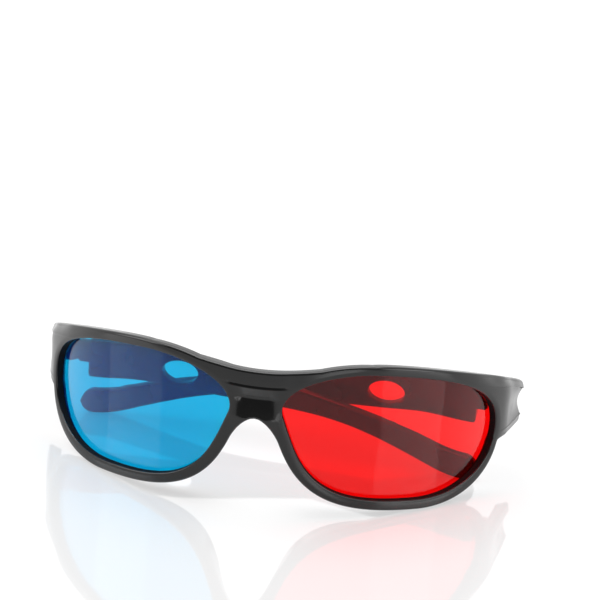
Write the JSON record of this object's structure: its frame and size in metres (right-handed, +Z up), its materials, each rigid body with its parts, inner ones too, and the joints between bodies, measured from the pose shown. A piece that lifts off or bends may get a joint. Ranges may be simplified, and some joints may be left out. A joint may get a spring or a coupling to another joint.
{
  "type": "anaglyph viewing glasses",
  "caption": "Wraparound plastic glasses with a blue and a red filter lens, slotted folding temples on screwed hinges, and a moulded nose bridge.",
  "frame": {"origin": "on the table, under the middle of the folded glasses' bounding box", "axes": "+X to the right of someone facing the front, +Y from the front towards the folded temples, +Z up"},
  "size_m": [0.1414, 0.0648, 0.0457],
  "materials": {
    "frame_plastic": "satin black moulded plastic",
    "temple_plastic": "satin black moulded plastic",
    "blue_filter": "clear glossy cyan-blue filter",
    "red_filter": "clear glossy red filter",
    "screw_steel": "plated steel"
  },
  "bodies": {
    "front": {"front_frame": "frame_plastic", "blue_lens": "blue_filter", "red_lens": "red_filter", "left_hinge_screw": "screw_steel", "right_hinge_screw": "screw_steel"},
    "left_arm": {"left_temple": "temple_plastic"},
    "right_arm": {"right_temple": "temple_plastic"}
  },
  "joints": [
    {"name": "left_hinge", "type": "hinge", "parent": "front", "child": "left_arm", "pos_m": [-0.06425, 0.02386, 0.0215], "axis": [0, 0, 1], "range_deg": [0, 94.5]},
    {"name": "right_hinge", "type": "hinge", "parent": "front", "child": "right_arm", "pos_m": [0.06425, 0.02386, 0.0215], "axis": [0, 0, -1], "range_deg": [0, 87.5]}
  ]
}
